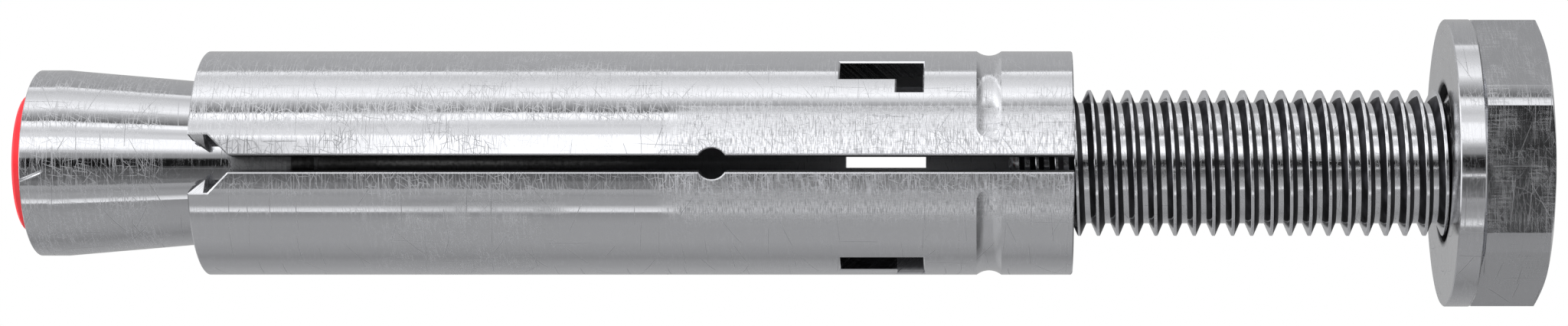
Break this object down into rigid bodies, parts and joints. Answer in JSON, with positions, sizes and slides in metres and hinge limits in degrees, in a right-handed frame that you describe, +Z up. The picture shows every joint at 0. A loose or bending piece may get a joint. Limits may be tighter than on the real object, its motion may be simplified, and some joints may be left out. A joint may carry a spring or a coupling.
{
  "type": "sleeve anchor",
  "caption": "Steel sleeve anchor for masonry: split sleeve, cone nut with end plug, and a hex bolt with washer, drawn out of the sleeve.",
  "frame": {"origin": "centre of the sleeve's mouth, on the anchor's axis", "axes": "+X along the axis from the cone nut to the bolt head, +Z up, and the sleeve's slit faces -Y"},
  "size_m": [0.1575, 0.03, 0.03],
  "materials": {
    "sleeve_steel": "bright zinc plated",
    "nut_steel": "bright zinc plated",
    "plug_plastic": "moulded",
    "washer_steel": "bright zinc plated",
    "bolt_steel": "bright zinc plated"
  },
  "bodies": {
    "sleeve": {"sleeve": "sleeve_steel"},
    "nut": {"cone_nut": "nut_steel", "end_plug": "plug_plastic"},
    "washer": {"washer": "washer_steel"},
    "bolt": {"hex_bolt": "bolt_steel"}
  },
  "joints": [
    {"name": "nut_slide", "type": "slide", "parent": "sleeve", "child": "nut", "axis": [1, 0, 0], "range_m": [-0.009, 0.0035]},
    {"name": "bolt_slide", "type": "slide", "parent": "sleeve", "child": "washer", "axis": [1, 0, 0], "range_m": [-0.0384, 0.006]},
    {"name": "bolt_turn", "type": "hinge", "parent": "washer", "child": "bolt", "pos_m": [0.0414, 0, 0], "axis": [1, 0, 0], "continuous": true}
  ]
}
